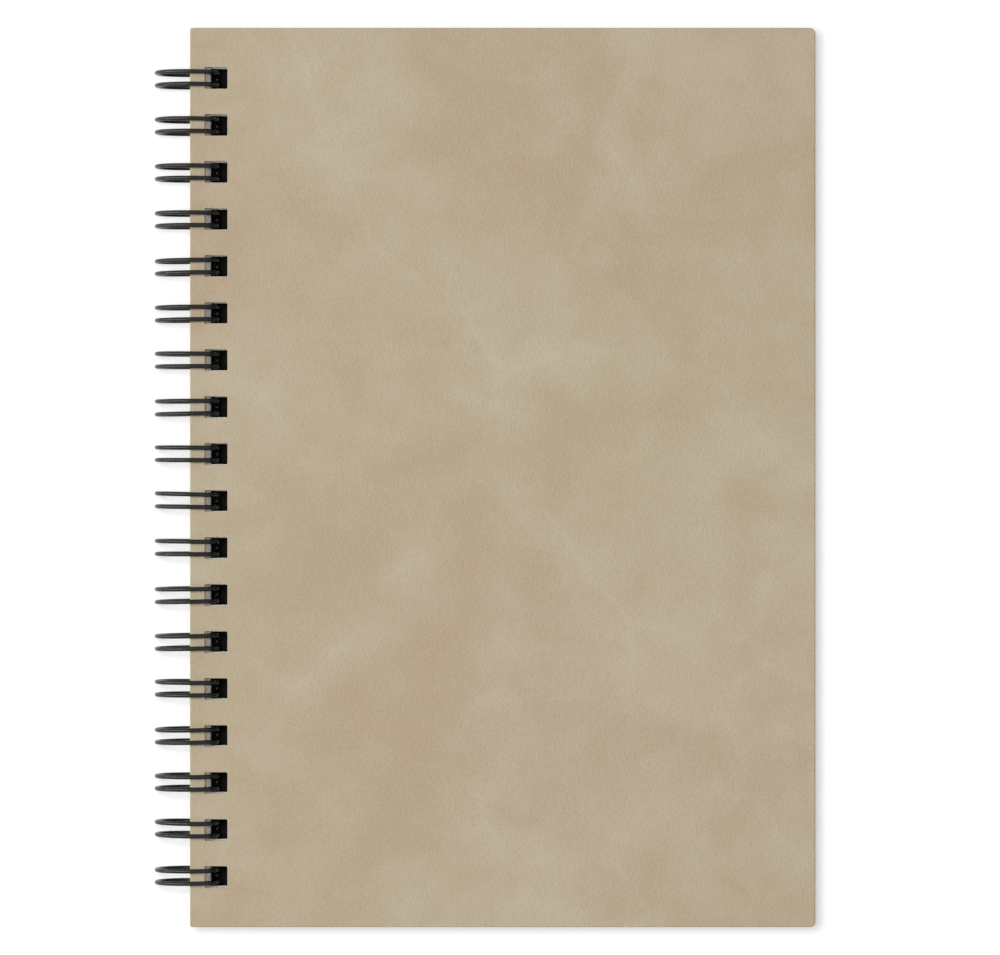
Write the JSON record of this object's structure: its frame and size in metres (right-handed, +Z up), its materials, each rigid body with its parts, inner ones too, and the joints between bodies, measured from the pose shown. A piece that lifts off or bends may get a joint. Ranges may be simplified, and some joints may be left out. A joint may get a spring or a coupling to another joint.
{
  "type": "twin-loop wire notebook",
  "caption": "Notebook with two leatherette covers and a thick stack of blank pages, bound along its left edge with double loops of black wire.",
  "frame": {"origin": "middle of the footprint, on the surface that the lowest points of the wire loops touch", "axes": "+X from the wire binding to the fore-edge, +Y from tail to head, +Z up out of the front cover"},
  "size_m": [0.1788, 0.243, 0.0177],
  "materials": {
    "front_cover": "tan imitation leather with a soft mottled shade and fine grain",
    "back_cover": "tan imitation leather with a soft mottled shade and fine grain",
    "pages": "uncoated white writing paper",
    "wire": "satin black nylon coating on steel wire"
  },
  "bodies": {
    "pages_and_wire": {"page_block": "pages", "twin_loop_wire": "wire"},
    "front_cover": {"front_cover": "front_cover"},
    "back_cover": {"back_cover": "back_cover"}
  },
  "joints": [
    {"name": "front_cover_hinge", "type": "hinge", "parent": "pages_and_wire", "child": "front_cover", "pos_m": [-0.08057, 0, 0.00885], "axis": [0, -1, 0], "range_deg": [0, 180]},
    {"name": "back_cover_hinge", "type": "hinge", "parent": "pages_and_wire", "child": "back_cover", "pos_m": [-0.08057, 0, 0.00885], "axis": [0, 1, 0], "range_deg": [0, 180]}
  ]
}
